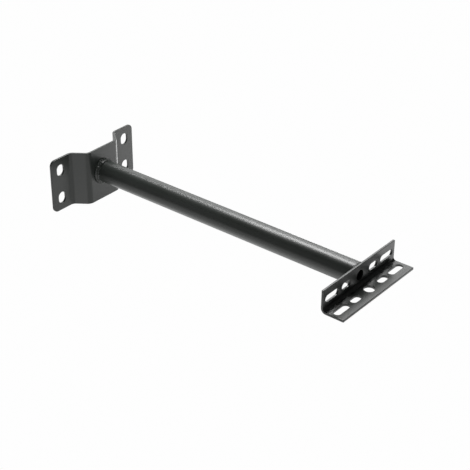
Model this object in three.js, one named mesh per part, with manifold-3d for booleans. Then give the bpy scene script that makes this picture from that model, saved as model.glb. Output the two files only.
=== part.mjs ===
// Steel arm of a wall-mounted pull-up bar: a round tube welded between a folded wall bracket,
// whose middle stands off the wall, and a slotted end angle. All of it is one rigid weldment.
// Millimetres, +Z up. The origin is on the tube's axis in the plane of the wall, +X runs along
// the tube away from the wall, and +Y runs across it.
import * as THREE from "three";
import { mergeVertices } from "three/addons/utils/BufferGeometryUtils.js";
import Module from "manifold-3d";

const wasm = await Module();
wasm.setup();

// Driving dimensions.
const sheet = 3; // thickness of both folded pieces
const gap = 0.3; // left between pieces that meet
const arcSteps = 8; // flats on a bend, a rounded corner or half a slot's end

const tube = { radius: 15, wall: 2.5, length: 415, sides: 48 };

const bracket = {
  depth: 22.5, // wall plane to the front of the web
  height: 76.2,
  drop: 2.5, // its middle is this far below the tube's axis
  halfWidth: 77.2,
  flangeFold: 41.5, // folds of the sheet's middle line, from the bracket's middle
  webFold: 27,
  bendRadius: 9, // of the sheet's middle line
  cornerRadius: 7.6,
  slot: { width: 12.5, length: 16.3, fromMiddle: 61, rise: 20.4 },
};

const angle = {
  length: 148,
  top: 14.4, // upright leg's top edge, from the tube's axis
  bottom: -16.4, // underside of the flat leg, from the tube's axis
  reach: 31.8, // back of the upright leg to the flat leg's free edge
  bendRadius: 5.3, // of the sheet's middle line
  slotWidth: 9.4,
  slots: [
    { length: 26.2, fromMiddle: 56.4 },
    { length: 17, fromMiddle: 28.1 },
  ],
  holeDiameter: 13.5, // in the middle of each leg
  uprightHoleLine: 0.1, // height of the upright leg's row of holes
  flatHoleLine: 17, // the flat leg's row of holes, from the upright leg's back
};

const weld = { alongTube: 4.2, upPlate: 3, bulge: 0.4, steps: 5, rootDepth: 2.4 };

const webFront = bracket.depth;
const angleBack = webFront + tube.length;

// A sheet of even thickness folded along a path: the outline of its edge. The path is the
// sheet's middle line with sharp corners, and each corner becomes an arc of the bend radius.
function foldedEdge(path, bendRadius, thickness) {
  const half = thickness / 2;
  const side = (from, to) => {
    const along = to.clone().sub(from).normalize();
    return new THREE.Vector2(-along.y, along.x).multiplyScalar(half);
  };
  const bends = path.slice(1, -1).map((corner, i) => {
    const back = path[i].clone().sub(corner).normalize();
    const ahead = path[i + 2].clone().sub(corner).normalize();
    const halfOpening = Math.acos(back.dot(ahead)) / 2;
    const inward = back.clone().add(ahead).normalize();
    const centre = corner.clone().addScaledVector(inward, bendRadius / Math.sin(halfOpening));
    const run = bendRadius / Math.tan(halfOpening);
    const angleTo = (direction) =>
      corner.clone().addScaledVector(direction, run).sub(centre).angle();
    return {
      centre,
      start: angleTo(back),
      end: angleTo(ahead),
      turn: Math.sign(ahead.cross(back)),
    };
  });
  const first = path[0];
  const last = path[path.length - 1];
  const startSide = side(first, path[1]);
  const endSide = side(path[path.length - 2], last);
  const outline = new THREE.Shape();
  outline.moveTo(first.x - startSide.x, first.y - startSide.y);
  outline.lineTo(first.x + startSide.x, first.y + startSide.y);
  for (const { centre, start, end, turn } of bends) {
    outline.absarc(centre.x, centre.y, bendRadius - turn * half, start, end, turn < 0);
  }
  outline.lineTo(last.x + endSide.x, last.y + endSide.y);
  outline.lineTo(last.x - endSide.x, last.y - endSide.y);
  for (const { centre, start, end, turn } of bends.reverse()) {
    outline.absarc(centre.x, centre.y, bendRadius + turn * half, end, start, turn > 0);
  }
  outline.closePath();
  return outline;
}

// A slot with round ends, or a round hole when length and width are equal.
function slotOutline(length, width, upright = false) {
  const straight = (length - width) / 2;
  const radius = width / 2;
  const outline = new THREE.Shape();
  if (upright) {
    outline.absarc(0, straight, radius, 0, Math.PI);
    outline.absarc(0, -straight, radius, Math.PI, 2 * Math.PI);
  } else {
    outline.absarc(straight, 0, radius, -Math.PI / 2, Math.PI / 2);
    outline.absarc(-straight, 0, radius, Math.PI / 2, (3 * Math.PI) / 2);
  }
  return outline;
}

function roundedRectangle(width, height, radius) {
  const x = width / 2 - radius;
  const y = height / 2 - radius;
  const outline = new THREE.Shape();
  outline.absarc(x, y, radius, 0, Math.PI / 2);
  outline.absarc(-x, y, radius, Math.PI / 2, Math.PI);
  outline.absarc(-x, -y, radius, Math.PI, (3 * Math.PI) / 2);
  outline.absarc(x, -y, radius, (3 * Math.PI) / 2, 2 * Math.PI);
  return outline;
}

// Extrusions of an outline. Each one stands on its plane: an outline drawn across the bar, in Y
// and Z, runs along +X, and one drawn from the side, in X and Z, is centred on the middle.
function prism(outline, depth) {
  return new THREE.ExtrudeGeometry(outline, {
    depth,
    curveSegments: arcSteps,
    bevelEnabled: false,
  });
}

function prismAlongX(outline, from, to, y, z) {
  const axes = new THREE.Matrix4().makeBasis(
    new THREE.Vector3(0, 1, 0),
    new THREE.Vector3(0, 0, 1),
    new THREE.Vector3(1, 0, 0),
  );
  return prism(outline, to - from)
    .applyMatrix4(axes)
    .translate(from, y, z);
}

function prismAcross(outline, width) {
  return prism(outline, width)
    .rotateX(Math.PI / 2)
    .translate(0, width / 2, 0);
}

function ringAroundX(profile, x) {
  return new THREE.LatheGeometry(profile, tube.sides)
    .rotateZ(-Math.PI / 2)
    .translate(x, 0, 0);
}

// Geometry to solid and back, for the cuts.
function solid(geometry) {
  geometry.deleteAttribute("normal");
  geometry.deleteAttribute("uv");
  const merged = mergeVertices(geometry);
  return new wasm.Manifold(
    new wasm.Mesh({
      numProp: 3,
      vertProperties: new Float32Array(merged.attributes.position.array),
      triVerts: new Uint32Array(merged.index.array),
    }),
  );
}

function geometryOf(body) {
  const { numProp, vertProperties, triVerts } = body.getMesh();
  const positions = new Float32Array((vertProperties.length / numProp) * 3);
  for (let i = 0; i < positions.length / 3; i++) {
    positions.set(vertProperties.subarray(i * numProp, i * numProp + 3), i * 3);
  }
  const geometry = new THREE.BufferGeometry();
  geometry.setAttribute("position", new THREE.BufferAttribute(positions, 3));
  geometry.setIndex(new THREE.BufferAttribute(triVerts, 1));
  geometry.computeVertexNormals();
  return geometry;
}

// Wall bracket: two flanges against the wall and a web that stands off it between slanted folds,
// with two upright slots in each flange.
function wallBracket() {
  const flange = sheet / 2;
  const web = bracket.depth - sheet / 2;
  const path = [
    new THREE.Vector2(flange, -bracket.halfWidth),
    new THREE.Vector2(flange, -bracket.flangeFold),
    new THREE.Vector2(web, -bracket.webFold),
    new THREE.Vector2(web, bracket.webFold),
    new THREE.Vector2(flange, bracket.flangeFold),
    new THREE.Vector2(flange, bracket.halfWidth),
  ];
  const { height, drop, halfWidth, depth, slot } = bracket;
  const strip = prism(foldedEdge(path, bracket.bendRadius, sheet), height);
  strip.translate(0, 0, -drop - height / 2);
  const corners = roundedRectangle(2 * halfWidth, height, bracket.cornerRadius);
  let body = solid(strip).intersect(solid(prismAlongX(corners, -1, depth + 1, 0, -drop)));
  for (const y of [-slot.fromMiddle, slot.fromMiddle]) {
    for (const z of [slot.rise - drop, -slot.rise - drop]) {
      const outline = slotOutline(slot.length, slot.width, true);
      body = body.subtract(solid(prismAlongX(outline, -1, sheet + 1, y, z)));
    }
  }
  return geometryOf(body);
}

// Main tube, open at both ends, where the two folded pieces close it.
function barTube() {
  const outline = new THREE.Shape();
  outline.absarc(0, 0, tube.radius, 0, 2 * Math.PI);
  const bore = new THREE.Path();
  bore.absarc(0, 0, tube.radius - tube.wall, 0, 2 * Math.PI);
  outline.holes.push(bore);
  const geometry = new THREE.ExtrudeGeometry(outline, {
    depth: tube.length - 2 * gap,
    curveSegments: tube.sides,
    bevelEnabled: false,
  });
  return geometry.rotateY(Math.PI / 2).translate(webFront + gap, 0, 0);
}

function anglePath(overrun = 0) {
  const back = angleBack + sheet / 2;
  const floor = angle.bottom + sheet / 2;
  return [
    new THREE.Vector2(back, angle.top + overrun),
    new THREE.Vector2(back, floor),
    new THREE.Vector2(angleBack + angle.reach + overrun, floor),
  ];
}

// End angle: an upright leg across the tube's end and a flat leg pointing away from the wall,
// each with a row of four slots about a round hole.
function endAngle() {
  const { length, slots, slotWidth, holeDiameter } = angle;
  let body = solid(prismAcross(foldedEdge(anglePath(), angle.bendRadius, sheet), length));
  const holes = [{ length: holeDiameter, width: holeDiameter, y: 0 }];
  for (const { length: slotLength, fromMiddle } of slots) {
    for (const y of [-fromMiddle, fromMiddle]) {
      holes.push({ length: slotLength, width: slotWidth, y });
    }
  }
  for (const hole of holes) {
    const across = prismAlongX(
      slotOutline(hole.length, hole.width),
      angleBack - 1,
      angleBack + sheet + 1,
      hole.y,
      angle.uprightHoleLine,
    );
    const down = prism(slotOutline(hole.length, hole.width, true), sheet + 2);
    down.translate(angleBack + angle.flatHoleLine, hole.y, angle.bottom - 1);
    body = body.subtract(solid(across)).subtract(solid(down));
  }
  return geometryOf(body);
}

// The outer edge of a weld bead's section, from its toe on the plate to its toe on the tube.
function beadEdge() {
  const foot = tube.radius + gap;
  const points = [];
  for (let i = 0; i <= weld.steps; i++) {
    const share = i / weld.steps;
    const swell = weld.bulge * Math.sin(Math.PI * share);
    points.push(
      new THREE.Vector2(
        foot + weld.upPlate * (1 - share) + swell,
        weld.alongTube * share + swell,
      ),
    );
  }
  return points;
}

// Bead around the tube where it stands on the bracket's web.
function wallWeld() {
  const foot = new THREE.Vector2(tube.radius + gap, 0);
  return ringAroundX([foot, ...beadEdge(), foot], webFront + gap);
}

// Bead around the tube behind the end angle. It fills in under the angle's bend, and stops at
// each side where the tube rises above the upright leg's top edge.
function endWeld() {
  const foot = tube.radius + gap;
  const root = new THREE.Vector2(foot, weld.rootDepth);
  const toe = new THREE.Vector2(foot + weld.upPlate / 2, weld.rootDepth);
  const bead = beadEdge().reverse();
  const profile = bead.map((point) => new THREE.Vector2(point.x, -point.y));
  const ring = solid(ringAroundX([...profile, toe, root, profile[0]], angleBack - gap));
  const keepOut = foldedEdge(anglePath(gap), angle.bendRadius, sheet + 2 * gap);
  const above = new THREE.BoxGeometry(60, 60, 30);
  above.translate(angleBack, 0, angle.top - gap + 15);
  return geometryOf(
    ring.subtract(solid(prismAcross(keepOut, 60))).subtract(solid(above)),
  );
}

// Black powder coat over every piece.
function powderCoat() {
  return new THREE.MeshStandardMaterial({ color: 0x1c1d1d, roughness: 0.45, metalness: 0 });
}

const pieces = {
  wall_bracket: wallBracket(),
  bar_tube: barTube(),
  end_angle: endAngle(),
  wall_weld: wallWeld(),
  end_weld: endWeld(),
};

const arm = new THREE.Group();
for (const [name, geometry] of Object.entries(pieces)) {
  const mesh = new THREE.Mesh(geometry, powderCoat());
  mesh.name = name;
  arm.add(mesh);
}

export default arm;
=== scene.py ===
"""Looks of a pull-up bar's steel arm: two folded sheets and a tube, welded and powder coated.

The object's frame: metres, origin on the tube's axis in the plane of the wall, +X along the
tube away from the wall, +Y across it, +Z up.
"""
from functools import partial
from math import atan2, cos, pi, radians, sin, tan

import bmesh
import bpy
from mathutils import Matrix, Vector
from mathutils.geometry import delaunay_2d_cdt


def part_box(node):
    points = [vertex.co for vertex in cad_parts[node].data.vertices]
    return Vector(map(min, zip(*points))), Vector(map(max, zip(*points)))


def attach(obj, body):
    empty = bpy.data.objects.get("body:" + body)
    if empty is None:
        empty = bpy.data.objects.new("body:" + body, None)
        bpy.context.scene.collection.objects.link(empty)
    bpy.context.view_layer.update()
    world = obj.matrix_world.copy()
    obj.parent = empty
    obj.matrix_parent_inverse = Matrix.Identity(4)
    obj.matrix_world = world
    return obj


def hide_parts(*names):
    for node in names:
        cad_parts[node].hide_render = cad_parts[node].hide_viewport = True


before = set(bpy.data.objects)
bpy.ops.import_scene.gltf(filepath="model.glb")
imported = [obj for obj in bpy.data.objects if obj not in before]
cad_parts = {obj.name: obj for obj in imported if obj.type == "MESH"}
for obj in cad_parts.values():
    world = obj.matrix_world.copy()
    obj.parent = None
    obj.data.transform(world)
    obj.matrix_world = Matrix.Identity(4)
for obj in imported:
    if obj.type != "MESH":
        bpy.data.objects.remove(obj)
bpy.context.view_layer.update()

MM = 0.001
BODY = "root"

# Places and sizes that the frame gives.
BRACKET_LOW, BRACKET_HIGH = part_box("wall_bracket")
TUBE_LOW, TUBE_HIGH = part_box("bar_tube")
ANGLE_LOW, ANGLE_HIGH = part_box("end_angle")
TUBE_RADIUS = (TUBE_HIGH[2] - TUBE_LOW[2]) / 2
WEB_FRONT = BRACKET_HIGH[0]
ANGLE_BACK = ANGLE_LOW[0]
CENTRE = ((BRACKET_LOW[0] + ANGLE_HIGH[0]) / 2, 0, 0)

# The folded sheets.
SHEET = 3 * MM
SOFTENING = 0.45 * MM  # round that the coating leaves on a cut edge
SOFTENING_STEPS = 4
FLANGE_FOLD = 41.5 * MM  # folds of the sheet's middle line, from the bracket's middle
WEB_FOLD = 27 * MM
BRACKET_BEND = 9 * MM
BRACKET_CORNER = 7.6 * MM
WALL_SLOT = {"length": 16.3 * MM, "width": 12.5 * MM, "from_edge": 16.2 * MM, "rise": 20.4 * MM}
ANGLE_BEND = 5.3 * MM
ANGLE_CORNER = 0.8 * MM
ANGLE_SLOT_WIDTH = 9.4 * MM
ANGLE_SLOTS = [(26.2 * MM, 56.4 * MM), (17 * MM, 28.1 * MM)]  # length, distance from the middle
ANGLE_HOLE = 13.5 * MM
UPRIGHT_ROW = 14.3 * MM  # from the upright leg's top edge
FLAT_ROW = 14.8 * MM  # from the flat leg's free edge

TUBE_WALL = 2.5 * MM

# The welds. Angles go around the tube, in radians, from +Y towards +Z.
WALL_BEAD = {
    "up": 3.4 * MM,  # reach of the bead up the web
    "along": 5.6 * MM,  # and along the tube
    "slump": 0.6,  # share of its reach up the web that it loses where it is lowest
    "slump_at": 0.9,  # the angle at which that is
    "start": 2.2 * MM,  # extra reach up the web where the welding started
    "start_at": 2.05,  # the angle at which that is
    "start_sharpness": 6,
}
END_BEAD = {
    "up": 3.0 * MM,
    "along": 4.2 * MM,
    "slump": 1.15,  # share of its reach up the angle that it loses towards the top
    "least": 0.12,  # least share of its reach up the angle that it keeps
    "thinning": 0.48,  # share of its reach along the tube that it loses at the top
    "onto_rim": 0.6 * MM,  # reach over the angle's top edge
    "melt": 2.2 * MM,  # how far back the tube's edge melts where a whole wall of it is melted
    "melt_slope": 2.5,  # length melted back for each unit of height melted off
}
BEAD_SWELL = 0.25 * MM
BEAD_RIDGE = 0.75 * MM  # of each pass
BEAD_FULL = 2 * MM  # reach up the plate from which a bead has its full swell and ridges
BEAD_RIPPLE = 0.22 * MM
BEAD_RIPPLES = 36
RIPPLE_BOW = 2.4  # how strongly a ripple curves from one toe to the other
RIPPLE_CREST = 0.6  # below 1, so its crest is broader than a sine wave's
RIPPLE_FADE = 0.5  # how fast it fades towards the toes
REACH_SHIFT = 1  # angle by which the waves of a bead's reach run ahead of those of its swell
# Waves around the tube: size, how many go around, and phase.
BEAD_WAVES = [(0.07, 5, 0.7), (0.05, 11, 0), (0.03, 23, 2)]
RIPPLE_WAVES = [(0.35, 3, 1), (0.25, 7, 2)]

# How finely things are divided.
CORNER_STEPS = 14  # along a quarter turn
SLOT_END_STEPS = 28  # along a half turn
BEND_STEPS = 14
TUBE_SIDES = 160
BEAD_SIDES = 480
BEAD_STEPS = 20  # from the bead's toe on the plate to its toe on the tube
MERGE_DISTANCE = 1e-7
CUT_TOLERANCE = 1e-8
FILL_TOLERANCE = 1e-9

# The coat.
COAT_DARK = (0.0150, 0.0180, 0.0155, 1)
COAT_PALE = (0.0190, 0.0225, 0.0200, 1)
COAT_ROUGHNESS = (0.34, 0.38)
NOISE_RANGE = (0.3, 0.7)  # most of a noise texture's values lie in it
CLOUDS = {"scale": 18, "detail": 4}
PEEL = {"scale": 520, "detail": 2}
GRAIN = {"scale": 1400, "detail": 2}
PEEL_HEIGHT = 0.4 * MM
GRAIN_HEIGHT = 0.2 * MM
BUMP_STRENGTH = 0.004

# The stage.
FLOOR_SIZE = 12.0
FLOOR_LEVEL = -0.9
FLOOR_SQUARES = 8
FLOOR_GLOW = 0.99
ROOM_LIGHT = 0.08
CAMERA_PLACE = (1.12979, -1.08614, 0.80480)
CAMERA_AZIMUTH, CAMERA_ELEVATION, CAMERA_ROLL = radians(-51.025), radians(30.438), radians(0.299)
SENSOR_WIDTH, FOCAL_LENGTH = 36, 98.26
# Softboxes: name, place, the point that each faces, width and height, power.
SOFTBOXES = [
    ("softbox_far", (0.00, 0.33, 0.93), (0.42, 0, 0), (0.26, 0.78), 12),
    ("softbox_near", (-0.40, 0.34, 0.93), (0.20, 0, 0), (0.05, 0.66), 2.0),
    ("panel", (-0.37, 1.37, 1.03), (0.46, 0, 0), (0.5, 0.4), 3.0),
    ("backdrop", (-0.9, 1.6, 0.75), CENTRE, (3.2, 1.3), 22),
    ("side_fill", (0.27, 0.36, -0.18), (0, 0.07, 0), (0.10, 0.12), 0.085),
    ("low_front", (0.30, -0.80, -0.52), (0, 0, 0), (0.5, 0.5), 0.65),
    ("under_fill", (-0.15, -0.15, -0.68), (0.22, 0, 0), (0.9, 0.4), 0.7),
    ("weld_glint", (0.19, 0.03, 0.21), (0.024, -0.006, 0.016), (0.03, 0.03), 0.15),
    ("leg_fill", (0.86, 0.86, -0.46), (0.45, 0.05, 0), (0.25, 0.25), 0.4),
    ("low_side", (-0.10, 0.95, -0.50), (0.02, 0.03, 0), (0.4, 0.4), 2.0),
    ("front_fill", (-0.60, -1.15, 0.50), CENTRE, (1.2, 0.8), 0.8),
]


# ---------------------------------------------------------------- meshes

def new_piece(name, mesh, coat, *nodes):
    """A coated piece of the arm, which stands for the nodes."""
    piece = bpy.data.objects.new(name, mesh)
    bpy.context.scene.collection.objects.link(piece)
    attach(piece, BODY)
    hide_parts(*nodes)
    mesh.materials.append(coat)
    return piece


def finished_mesh(name, build):
    """A mesh from a bmesh with its doubles merged, faces turned outwards and smooth."""
    bmesh.ops.remove_doubles(build, verts=build.verts, dist=MERGE_DISTANCE)
    bmesh.ops.recalc_face_normals(build, faces=build.faces)
    for face in build.faces:
        face.smooth = True
    mesh = bpy.data.meshes.new(name)
    build.to_mesh(mesh)
    build.free()
    return mesh


def arc(centre, radius, start, end, steps):
    """Points along an arc, with both of its ends."""
    angles = [start + (end - start) * i / steps for i in range(steps + 1)]
    return [(centre[0] + radius * cos(a), centre[1] + radius * sin(a)) for a in angles]


def rounded_rectangle(size, corner, inset):
    """A rectangle about the origin with corners of one radius, drawn in by the inset."""
    half_x, half_y = size[0] / 2 - corner, size[1] / 2 - corner
    middles = [(half_x, half_y), (-half_x, half_y), (-half_x, -half_y), (half_x, -half_y)]
    points = []
    for quarter, middle in enumerate(middles):
        start = quarter * pi / 2
        points += arc(middle, corner - inset, start, start + pi / 2, CORNER_STEPS)
    return points


def slot_outline(centre, size, inset):
    """A slot with round ends, size[0] in x by size[1] in y, widened all round by the inset.

    It is a circle where both sizes are the same.
    """
    radius = min(size) / 2
    reach = (max(size[0] - size[1], 0) / 2, max(size[1] - size[0], 0) / 2)
    turn = 0 if reach[0] else pi / 2
    points = []
    for side in (1, -1):
        middle = (centre[0] + side * reach[0], centre[1] + side * reach[1])
        start = turn - pi / 2 + (0 if side == 1 else pi)
        half = arc(middle, radius + inset, start, start + pi, SLOT_END_STEPS)
        if not max(reach):
            half.pop()  # a circle's other half starts at this point
        points += half
    return points


class FoldedPath:
    """The middle line of a folded sheet: straight runs joined by arcs of one radius."""

    def __init__(self, corners, bend):
        self.stretches = []  # distance to its start, length, start, heading, turn, bend radius
        self.bends = []  # distances to its start and to its end
        self.length = 0
        entry = Vector(corners[0])
        for before, corner, after in zip(corners, corners[1:], corners[2:]):
            ahead = (Vector(corner) - Vector(before)).normalized()
            leaving = (Vector(after) - Vector(corner)).normalized()
            turn = atan2(ahead.cross(leaving), ahead.dot(leaving))
            run = bend * tan(abs(turn) / 2)
            start = Vector(corner) - ahead * run
            self._add_run(entry, start)
            self._add_bend(start, ahead, turn, bend)
            entry = Vector(corner) + leaving * run
        self._add_run(entry, Vector(corners[-1]))

    def _add_run(self, start, end):
        length = (end - start).length
        self.stretches.append((self.length, length, start, (end - start).normalized(), 0, 0))
        self.length += length

    def _add_bend(self, start, ahead, turn, bend):
        length = bend * abs(turn)
        self.stretches.append((self.length, length, start, ahead, turn, bend))
        self.bends.append((self.length, self.length + length))
        self.length += length

    def at(self, distance, offset):
        """The point that far along the path, and offset to its left."""
        stretch = self.stretches[0]
        for candidate in self.stretches:
            if distance >= candidate[0]:
                stretch = candidate
        first, length, start, ahead, turn, bend = stretch
        left = Vector((-ahead.y, ahead.x))
        if not turn:
            return start + ahead * (distance - first) + left * offset
        side = 1 if turn > 0 else -1
        centre = start + left * side * bend
        swept = turn * (distance - first) / length
        spoke = (start - centre) * (1 - side * offset / bend)
        return centre + Matrix.Rotation(swept, 2) @ spoke


def edge_section():
    """Inset and height of the sheet's softened edge, from its lower face to its upper face."""
    half = SHEET / 2
    quarter = [i * pi / 2 / SOFTENING_STEPS for i in range(SOFTENING_STEPS + 1)]
    lower = [(SOFTENING * (1 - sin(a)), -half + SOFTENING * (1 - cos(a))) for a in quarter]
    return lower + [(inset, -height) for inset, height in reversed(lower)]


def folded_sheet(name, path, width, corner, holes, place):
    """A blank with its holes cut and its edges softened, folded along the path.

    holes are ((distance along the path, place across it), (size along, size across)), and place
    puts a point of the path's plane, and its place across, into the object's frame.
    """

    def blank(inset):
        rectangle = rounded_rectangle((path.length, width), corner, inset)
        return [(x + path.length / 2, y) for x, y in rectangle]

    build = bmesh.new()
    section = edge_section()
    rims = {0: [], len(section) - 1: []}
    for outline in [blank] + [partial(slot_outline, centre, size) for centre, size in holes]:
        rings = []
        for level, (inset, height) in enumerate(section):
            points = outline(inset)
            ring = [build.verts.new((x, y, height)) for x, y in points]
            rings.append(ring)
            if level in rims:
                rims[level].append(ring)
        for low, high in zip(rings, rings[1:]):
            for i in range(len(low)):
                j = (i + 1) % len(low)
                build.faces.new((low[i], low[j], high[j], high[i]))
    for rim in rims.values():
        fill_between(build, rim)
    cut_at_bends(build, path)
    for vert in build.verts:
        flat = path.at(vert.co.x, vert.co.z)
        vert.co = place(flat, vert.co.y)
    return finished_mesh(name, build)


def fill_between(build, rings):
    """Triangles over the area inside the first ring and outside the others."""
    verts = [vert for ring in rings for vert in ring]
    loops, count = [], 0
    for ring in rings:
        loops.append(list(range(count, count + len(ring))))
        count += len(ring)
    edges = [(a, b) for loop in loops for a, b in zip(loop, loop[1:] + loop[:1])]
    points = [vert.co.to_2d() for vert in verts]
    whole_hull = 0
    result = delaunay_2d_cdt(points, edges, [], whole_hull, FILL_TOLERANCE)
    faces, sources = result[2:4]
    for face in faces:
        corners = [sources[i][0] for i in face]
        middle = sum((points[i] for i in corners), Vector((0, 0))) / len(corners)
        if any(inside(middle, [points[i] for i in loop]) for loop in loops[1:]):
            continue
        if inside(middle, [points[i] for i in loops[0]]):
            build.faces.new([verts[i] for i in corners])


def inside(point, loop):
    """Whether a ray from the point crosses the loop an odd number of times."""
    within = False
    for a, b in zip(loop, loop[1:] + loop[:1]):
        if (a.y > point.y) != (b.y > point.y):
            if point.x < a.x + (b.x - a.x) * (point.y - a.y) / (b.y - a.y):
                within = not within
    return within


def cut_at_bends(build, path):
    """Cuts across the flat blank, so that its bends come out round."""
    for start, end in path.bends:
        for i in range(BEND_STEPS + 1):
            where = start + (end - start) * i / BEND_STEPS
            bmesh.ops.bisect_plane(
                build,
                geom=build.verts[:] + build.edges[:] + build.faces[:],
                dist=CUT_TOLERANCE,
                plane_co=(where, 0, 0),
                plane_no=(1, 0, 0),
            )


def swept_ring(name, profiles):
    """A closed skin through a ring of closed profiles, each a list of points."""
    build = bmesh.new()
    rings = [[build.verts.new(point) for point in profile] for profile in profiles]
    for ring, following in zip(rings, rings[1:] + rings[:1]):
        for i in range(len(ring)):
            j = (i + 1) % len(ring)
            build.faces.new((ring[i], ring[j], following[j], following[i]))
    return finished_mesh(name, build)


def steady_normals(piece):
    """Normals by which flat faces are shaded flat, and only the softened edges look round."""
    modifier = piece.modifiers.new("steady_normals", "WEIGHTED_NORMAL")
    modifier.mode = "FACE_AREA"
    modifier.weight = 100  # its highest: the largest face decides
    modifier.keep_sharp = True


# ---------------------------------------------------------------- pieces

def wall_bracket(coat):
    """Two flanges on the wall, and a web that two slanted runs carry in front of it."""
    low, high = BRACKET_LOW, BRACKET_HIGH
    half_width = (high[1] - low[1]) / 2
    height = high[2] - low[2]
    middle = (high[2] + low[2]) / 2
    flange, web = SHEET / 2, WEB_FRONT - SHEET / 2
    path = FoldedPath(
        [
            (flange, -half_width),
            (flange, -FLANGE_FOLD),
            (web, -WEB_FOLD),
            (web, WEB_FOLD),
            (flange, FLANGE_FOLD),
            (flange, half_width),
        ],
        BRACKET_BEND,
    )
    holes = []
    for distance in (WALL_SLOT["from_edge"], path.length - WALL_SLOT["from_edge"]):
        for rise in (WALL_SLOT["rise"], -WALL_SLOT["rise"]):
            holes.append(((distance, rise), (WALL_SLOT["width"], WALL_SLOT["length"])))

    def place(flat, across):
        return flat.x, flat.y, middle + across

    mesh = folded_sheet("wall_bracket_sheet", path, height, BRACKET_CORNER, holes, place)
    steady_normals(new_piece("wall_bracket_sheet", mesh, coat, "wall_bracket"))


def end_angle(coat):
    """An upright leg on the tube's end and a flat leg, with a round hole and slots in each."""
    low, high = ANGLE_LOW, ANGLE_HIGH
    back, floor = low[0] + SHEET / 2, low[2] + SHEET / 2
    path = FoldedPath([(back, high[2]), (back, floor), (high[0], floor)], ANGLE_BEND)
    holes = []
    for row in (UPRIGHT_ROW, path.length - FLAT_ROW):
        holes.append(((row, 0), (ANGLE_HOLE, ANGLE_HOLE)))
        for length, distance in ANGLE_SLOTS:
            for side in (-1, 1):
                holes.append(((row, side * distance), (ANGLE_SLOT_WIDTH, length)))

    def place(flat, across):
        return flat.x, across, flat.y

    mesh = folded_sheet("end_angle_sheet", path, high[1] - low[1], ANGLE_CORNER, holes, place)
    steady_normals(new_piece("end_angle_sheet", mesh, coat, "end_angle"))


def around(angle, section):
    """A section's points, each a place in X and a radius, at that angle around the tube."""
    return [(x, radius * cos(angle), radius * sin(angle)) for x, radius in section]


def bar_tube(coat):
    """The tube, with softened ends, whose edge at the angle is melted down by the weld."""
    outer, inner = TUBE_RADIUS, TUBE_RADIUS - TUBE_WALL
    start, end = TUBE_LOW[0], TUBE_HIGH[0]
    profiles = []
    for i in range(TUBE_SIDES):
        angle = 2 * pi * i / TUBE_SIDES
        back = melted(angle)
        section = [
            (start + SOFTENING, outer),
            (end - SOFTENING - back, outer),
            (end, outer - SOFTENING - back / END_BEAD["melt_slope"]),
            (end, inner),
            (start, inner),
            (start, outer - SOFTENING),
        ]
        profiles.append(around(angle, section))
    mesh = swept_ring("bar_tube_round", profiles)
    steady_normals(new_piece("bar_tube_round", mesh, coat, "bar_tube"))


def waves(shape, angle):
    """The sum of a shape's waves at that angle around the tube."""
    return sum(size * sin(count * angle + start) for size, count, start in shape)


def unevenness(angle):
    """How the bead swells and narrows along its run."""
    return 1 + waves(BEAD_WAVES, angle)


def ripple(angle, share):
    """Height of the ripples a weld pool leaves, from 0 to 1, as crescents along the bead."""
    bow = RIPPLE_BOW * (share - 0.5) ** 2
    wander = waves(RIPPLE_WAVES, angle)
    phase = (angle * BEAD_RIPPLES / (2 * pi) + bow + wander) % 1
    return sin(pi * phase) ** RIPPLE_CREST * sin(pi * share) ** RIPPLE_FADE


def bead_section(angle, plate, foot, passes):
    """The bead's surface from its toe on the plate to its toe on the tube."""
    line = foot - plate
    outward = Vector((-line.y, line.x)).normalized()
    if outward.y < 0:
        outward.negate()
    fullness = min(max(plate.y - TUBE_RADIUS, 0) / BEAD_FULL, 1)
    section = []
    for step in range(BEAD_STEPS + 1):
        share = step / BEAD_STEPS
        crown = BEAD_SWELL * sin(pi * share)
        ridges = BEAD_RIDGE * (1 - cos(2 * pi * passes * share)) / 2
        height = (crown + ridges) * unevenness(angle) * fullness
        height += BEAD_RIPPLE * ripple(angle, share)
        section.append(plate + line * share + outward * height)
    return section


def weld_bead(name, node, toes, root, passes, coat):
    """A bead around the tube.

    toes(angle) gives its toe on the plate and its toe on the tube, each as a place in X and a
    radius, and root is the same for the joint that it hides.
    """
    profiles = []
    for i in range(BEAD_SIDES):
        angle = 2 * pi * i / BEAD_SIDES
        plate, foot = (Vector(toe) for toe in toes(angle))
        section = bead_section(angle, plate, foot, passes) + [Vector(root)]
        profiles.append(around(angle, section))
    mesh = swept_ring(name, profiles)
    new_piece(name, mesh, coat, node)


def wall_weld(coat):
    """Two passes in the corner between the bracket's web and the tube."""

    def toes(angle):
        size = unevenness(angle + REACH_SHIFT)
        slump = 1 - WALL_BEAD["slump"] * max(cos(angle - WALL_BEAD["slump_at"]), 0)
        start = max(cos(angle - WALL_BEAD["start_at"]), 0) ** WALL_BEAD["start_sharpness"]
        up = WALL_BEAD["up"] * slump + WALL_BEAD["start"] * start
        plate = (WEB_FRONT, TUBE_RADIUS + up * size)
        return plate, (WEB_FRONT + WALL_BEAD["along"] * size, TUBE_RADIUS)

    root = (WEB_FRONT, TUBE_RADIUS - TUBE_WALL / 2)
    weld_bead("wall_weld_bead", "wall_weld", toes, root, 2, coat)


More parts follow.
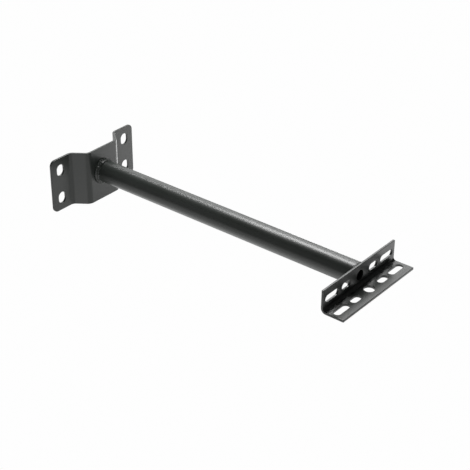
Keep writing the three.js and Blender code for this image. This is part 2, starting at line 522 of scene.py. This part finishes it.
def end_toe(angle):
    """Toe of the end weld on the angle: a place in X and a radius.

    At the top the bead only reaches the upright leg's top edge, which is below the tube's top.
    At the bottom it follows the outside of the bend to the leg's underside.
    """
    slump = min(max(1 - END_BEAD["slump"] * sin(angle), END_BEAD["least"]), 1)
    radius = TUBE_RADIUS + END_BEAD["up"] * unevenness(angle + REACH_SHIFT) * slump
    place = ANGLE_BACK
    if sin(angle) > 0:
        rim = ANGLE_HIGH[2] / sin(angle)
        if rim < radius:
            place += END_BEAD["onto_rim"] * min((radius - rim) / END_BEAD["up"], 1)
            radius = rim
    elif sin(angle) < 0:
        outer = ANGLE_BEND + SHEET / 2
        bend_top = ANGLE_LOW[2] + outer
        radius = min(radius, (ANGLE_LOW[2] + SOFTENING) / sin(angle))
        drop = bend_top - radius * sin(angle)
        if drop > 0:
            place += outer - (outer**2 - drop**2) ** 0.5
    return place, radius


def end_weld(coat):
    """One pass around the tube behind the end angle, melted down to its top edge."""

    def toes(angle):
        size = unevenness(angle + REACH_SHIFT)
        plate = end_toe(angle)
        along = END_BEAD["along"] * (1 - END_BEAD["thinning"] * max(sin(angle), 0))
        return plate, (ANGLE_BACK - along * size, TUBE_RADIUS)

    root = (ANGLE_BACK, TUBE_RADIUS - TUBE_WALL)
    weld_bead("end_weld_bead", "end_weld", toes, root, 1, coat)


def melted(angle):
    """How far back the weld has melted the tube's outer edge, where it rises above the angle."""
    sunk = max(TUBE_RADIUS - end_toe(angle)[1], 0)
    return END_BEAD["melt"] * sunk / TUBE_WALL


# ---------------------------------------------------------------- material

def powder_coat():
    """Satin black powder coat: near black, almost smooth, with faintly uneven gloss."""
    material = bpy.data.materials.new("black_powder_coat")
    material.use_nodes = True
    tree = material.node_tree
    shader = tree.nodes["Principled BSDF"]
    add = tree.nodes.new
    link = tree.links.new
    place = add("ShaderNodeTexCoord")

    def noise(scale, detail):
        node = add("ShaderNodeTexNoise")
        node.inputs["Scale"].default_value = scale
        node.inputs["Detail"].default_value = detail
        link(place.outputs["Object"], node.inputs["Vector"])
        return node.outputs["Fac"]

    def ranged(source, low, high):
        node = add("ShaderNodeMapRange")
        node.inputs["From Min"].default_value = NOISE_RANGE[0]
        node.inputs["From Max"].default_value = NOISE_RANGE[1]
        node.inputs["To Min"].default_value = low
        node.inputs["To Max"].default_value = high
        link(source, node.inputs["Value"])
        return node.outputs["Result"]

    def bump(source, height):
        node = add("ShaderNodeBump")
        node.inputs["Strength"].default_value = BUMP_STRENGTH
        node.inputs["Distance"].default_value = height
        link(source, node.inputs["Height"])
        return node

    clouds = noise(**CLOUDS)
    tint = add("ShaderNodeMix")
    tint.data_type = "RGBA"
    tint.inputs["A"].default_value = COAT_DARK
    tint.inputs["B"].default_value = COAT_PALE
    link(ranged(clouds, 0, 1), tint.inputs["Factor"])
    link(tint.outputs["Result"], shader.inputs["Base Color"])
    link(ranged(clouds, *COAT_ROUGHNESS), shader.inputs["Roughness"])

    peel = bump(noise(**PEEL), PEEL_HEIGHT)
    grain = bump(noise(**GRAIN), GRAIN_HEIGHT)
    link(peel.outputs["Normal"], grain.inputs["Normal"])
    link(grain.outputs["Normal"], shader.inputs["Normal"])
    return material


# ---------------------------------------------------------------- stage

def stage_floor():
    """A pale floor that glows evenly, well below the arm, so that no shadow shows on it."""
    build = bmesh.new()
    bmesh.ops.create_grid(
        build, x_segments=FLOOR_SQUARES, y_segments=FLOOR_SQUARES, size=FLOOR_SIZE / 2
    )
    mesh = bpy.data.meshes.new("floor")
    build.to_mesh(mesh)
    build.free()
    floor = bpy.data.objects.new("floor", mesh)
    floor.location = (0, 0, FLOOR_LEVEL)
    bpy.context.scene.collection.objects.link(floor)
    material = bpy.data.materials.new("pale_floor")
    material.use_nodes = True
    shader = material.node_tree.nodes["Principled BSDF"]
    shader.inputs["Base Color"].default_value = (0, 0, 0, 1)
    shader.inputs["Specular IOR Level"].default_value = 0
    shader.inputs["Emission Color"].default_value = (1, 1, 1, 1)
    shader.inputs["Emission Strength"].default_value = FLOOR_GLOW
    mesh.materials.append(material)


def room(strength):
    """Even white light from all around."""
    world = bpy.data.worlds.new("studio")
    world.use_nodes = True
    background = world.node_tree.nodes["Background"]
    background.inputs["Color"].default_value = (1, 1, 1, 1)
    background.inputs["Strength"].default_value = strength
    bpy.context.scene.world = world


def softbox(name, place, aim, size, power):
    """An evenly lit rectangle that the camera doesn't see."""
    light = bpy.data.lights.new(name, "AREA")
    light.shape = "RECTANGLE"
    light.size, light.size_y = size
    light.energy = power
    lamp = bpy.data.objects.new(name, light)
    lamp.location = place
    direction = Vector(aim) - Vector(place)
    lamp.rotation_euler = direction.to_track_quat("-Z", "Y").to_euler()
    lamp.visible_camera = False
    bpy.context.scene.collection.objects.link(lamp)


def camera():
    """The camera looks at the arm's free end from the front left and above."""
    data = bpy.data.cameras.new("camera")
    data.sensor_width = SENSOR_WIDTH
    data.lens = FOCAL_LENGTH
    azimuth, elevation, roll = CAMERA_AZIMUTH, CAMERA_ELEVATION, CAMERA_ROLL
    back = Vector((
        cos(elevation) * cos(azimuth), cos(elevation) * sin(azimuth), sin(elevation)
    ))
    level = Vector((0, 0, 1)).cross(back).normalized()
    upright = back.cross(level)
    right = cos(roll) * level + sin(roll) * upright
    up = cos(roll) * upright - sin(roll) * level
    viewer = bpy.data.objects.new("camera", data)
    turned = Matrix((right, up, back)).transposed()
    viewer.matrix_world = Matrix.Translation(CAMERA_PLACE) @ turned.to_4x4()
    bpy.context.scene.collection.objects.link(viewer)
    bpy.context.scene.camera = viewer


coat = powder_coat()
wall_bracket(coat)
bar_tube(coat)
end_angle(coat)
wall_weld(coat)
end_weld(coat)

stage_floor()
room(ROOM_LIGHT)
for box in SOFTBOXES:
    softbox(*box)
camera()
bpy.context.scene.view_settings.view_transform = "Standard"
